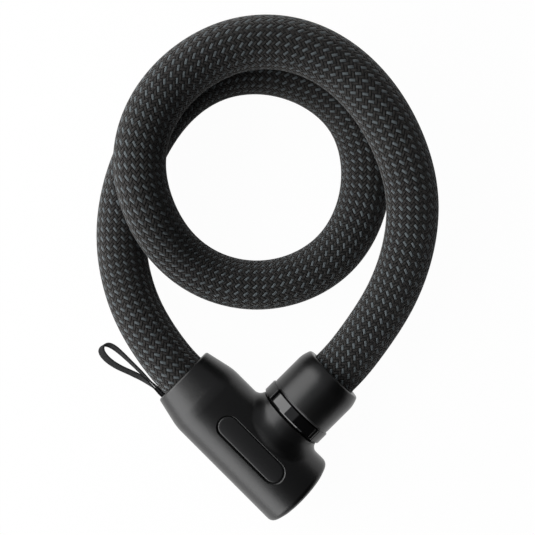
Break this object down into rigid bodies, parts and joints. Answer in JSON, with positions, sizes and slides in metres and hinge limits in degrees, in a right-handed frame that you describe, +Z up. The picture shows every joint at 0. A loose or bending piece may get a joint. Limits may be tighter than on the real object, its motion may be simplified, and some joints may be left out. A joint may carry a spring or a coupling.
{
  "type": "cable lock",
  "caption": "Armoured cable lock: shelled steel cable in a braided sleeve, coiled twice and plugged into a key-operated T-shaped body.",
  "frame": {"origin": "on the surface that the lock lies on, under the middle of its bounding box", "axes": "+Z up from that surface, +Y away from the lock body across the coil, +X to the right of it"},
  "size_m": [0.1672, 0.2409, 0.0507],
  "materials": {
    "shell": "soft-touch matt",
    "cap": "fine matt",
    "badge": "satin",
    "gloss_band": "high gloss",
    "steel": "ground",
    "hard_steel": "hardened, zinc plated",
    "rope_steel": "galvanised wire",
    "brass": "machined",
    "braid": "woven, with light flecks",
    "ribbon": "woven tape",
    "seal": "moulded"
  },
  "bodies": {
    "lock_body": {"body_shell": "shell", "badge_plate": "badge", "inner_case": "hard_steel", "end_cap": "cap", "cylinder_housing": "brass", "cylinder_pin": "steel", "plug_bush": "brass", "cable_anchor": "steel", "anchor_pins": "steel", "sleeve_clamp": "cap", "rope_core": "rope_steel", "armour_shells": "hard_steel", "braided_sleeve": "braid", "strap_loop": "ribbon"},
    "plug": {"locking_plug": "hard_steel", "plug_seal": "seal", "marker_band": "gloss_band", "plug_collar": "shell", "plug_ferrule": "shell", "plug_crimp": "steel", "crimp_pins": "steel"},
    "rotor": {"cam_disc": "steel", "key_drum": "brass", "code_discs": "brass", "side_bar": "steel", "drum_face": "hard_steel", "shutter_pin": "steel"},
    "latch": {"latch_plate": "hard_steel"},
    "shutter": {"keyhole_shutter": "steel"}
  },
  "joints": [
    {"name": "plug_slide", "type": "slide", "parent": "lock_body", "child": "plug", "axis": [0.7059, 0.7083, 0], "range_m": [0, 0.034], "deforming": ["braided_sleeve", "armour_shells", "rope_core"]},
    {"name": "key_turn", "type": "hinge", "parent": "lock_body", "child": "rotor", "pos_m": [-0.0024, -0.08675, 0.0197], "axis": [0.7083, -0.7059, 0], "range_deg": [0, 90]},
    {"name": "latch_slide", "type": "slide", "parent": "lock_body", "child": "latch", "axis": [0, 0, 1], "range_m": [0, 0.00495]},
    {"name": "shutter_swing", "type": "hinge", "parent": "rotor", "child": "shutter", "pos_m": [0.01729, -0.10369, 0.0197], "axis": [0, 0, -1], "range_deg": [0, 70], "stiffness_Nm_per_rad": 0.0002, "springref_deg": -17.19}
  ],
  "couplings": [
    {"joint": "latch_slide", "follows": "key_turn", "m_per_rad": 0.003151}
  ]
}
